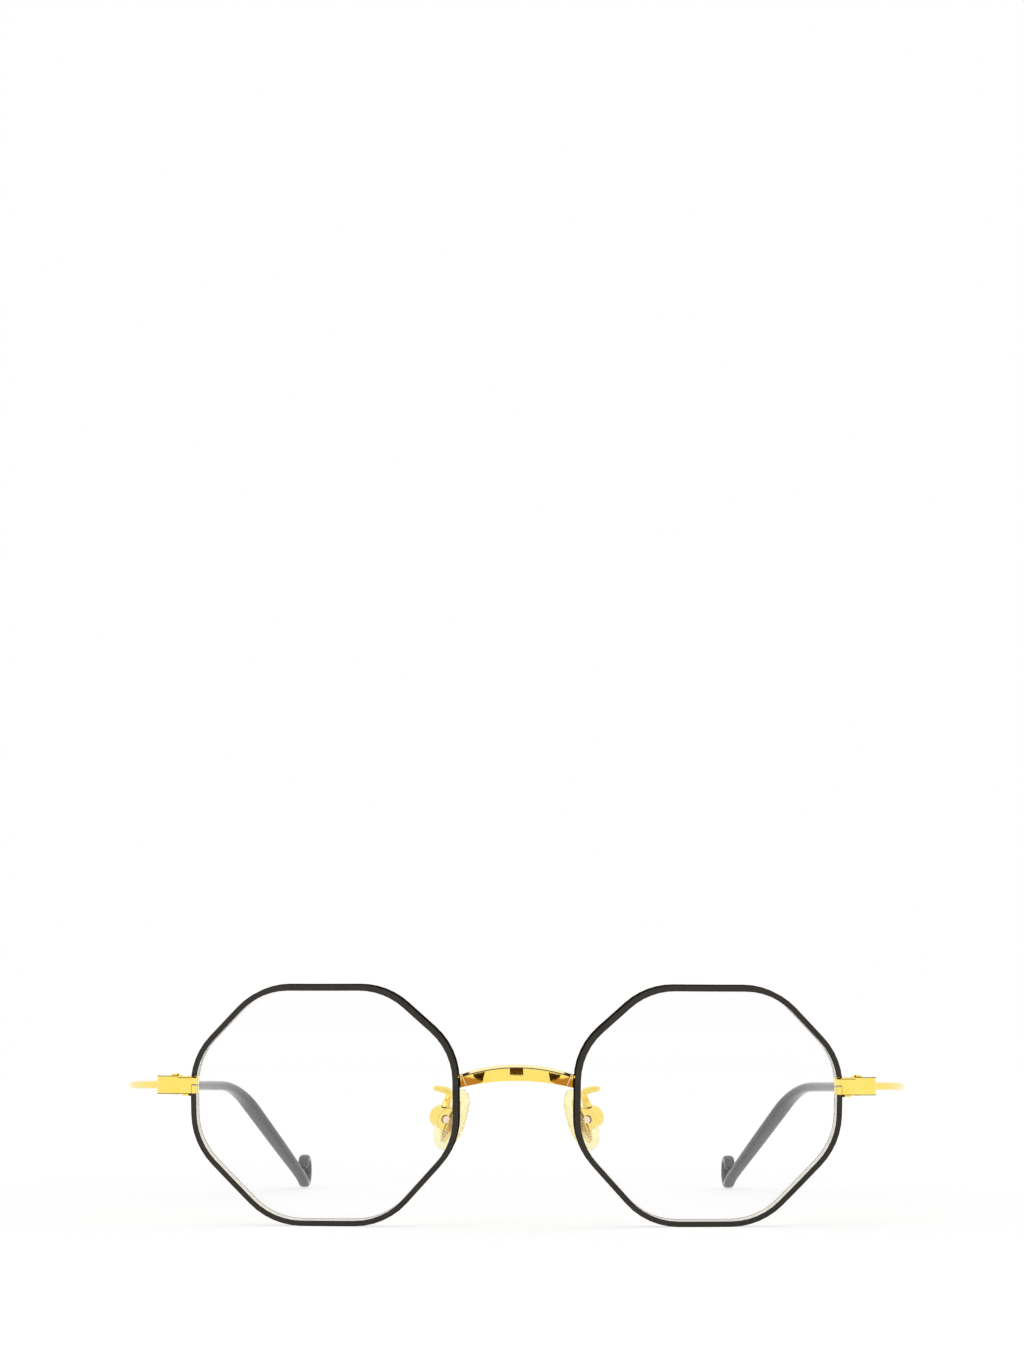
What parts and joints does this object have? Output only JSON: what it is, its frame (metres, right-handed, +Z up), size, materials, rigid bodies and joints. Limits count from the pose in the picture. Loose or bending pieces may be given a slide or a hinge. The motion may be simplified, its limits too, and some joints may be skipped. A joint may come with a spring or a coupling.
{
  "type": "eyeglasses",
  "caption": "Octagonal full-rim metal eyeglasses with an arched bridge, rocking nose pads, folding wire temples and curled black tips.",
  "frame": {"origin": "on the table, under the middle of the open eyeglasses' box", "axes": "+X to the wearer's left, the front faces -Y, +Z up; the rims' lower edges and the temple tips stand at z = 0"},
  "size_m": [0.1476, 0.1398, 0.0428],
  "materials": {
    "gold": "polished",
    "screw": "polished",
    "enamel": "glossy lacquer",
    "lens": "clear",
    "acetate": "polished",
    "pad": "clear silicone",
    "insert": "satin"
  },
  "bodies": {
    "front": {"left_rim": "gold", "right_rim": "gold", "left_rim_enamel": "enamel", "right_rim_enamel": "enamel", "left_lens": "lens", "right_lens": "lens", "bridge": "gold", "left_end_piece": "gold", "right_end_piece": "gold", "left_closing_block": "gold", "right_closing_block": "gold", "left_closing_screw": "screw", "right_closing_screw": "screw", "left_front_hinge": "gold", "right_front_hinge": "gold", "left_hinge_screw": "screw", "right_hinge_screw": "screw", "left_pad_arm": "gold", "right_pad_arm": "gold", "left_pad_box": "gold", "right_pad_box": "gold", "left_pad_screw": "screw", "right_pad_screw": "screw"},
    "left_temple_arm": {"left_temple": "gold", "left_temple_tip": "acetate", "left_temple_hinge": "gold"},
    "right_temple_arm": {"right_temple": "gold", "right_temple_tip": "acetate", "right_temple_hinge": "gold"},
    "left_pad": {"left_pad_insert": "insert", "left_nose_pad": "pad"},
    "right_pad": {"right_pad_insert": "insert", "right_nose_pad": "pad"}
  },
  "joints": [
    {"name": "left_temple_fold", "type": "hinge", "parent": "front", "child": "left_temple_arm", "pos_m": [0.06095, -0.05924, 0.0249], "axis": [0, 0, 1], "range_deg": [0, 84]},
    {"name": "right_temple_fold", "type": "hinge", "parent": "front", "child": "right_temple_arm", "pos_m": [-0.06095, -0.05924, 0.0249], "axis": [0, 0, -1], "range_deg": [0, 76]},
    {"name": "left_pad_rock", "type": "hinge", "parent": "front", "child": "left_pad", "pos_m": [0.0135, -0.05954, 0.01925], "axis": [0.5708, 0.788, 0.2306], "range_deg": [-6, 6]},
    {"name": "right_pad_rock", "type": "hinge", "parent": "front", "child": "right_pad", "pos_m": [-0.0135, -0.05954, 0.01925], "axis": [0.5708, -0.788, -0.2306], "range_deg": [-6, 6]}
  ]
}
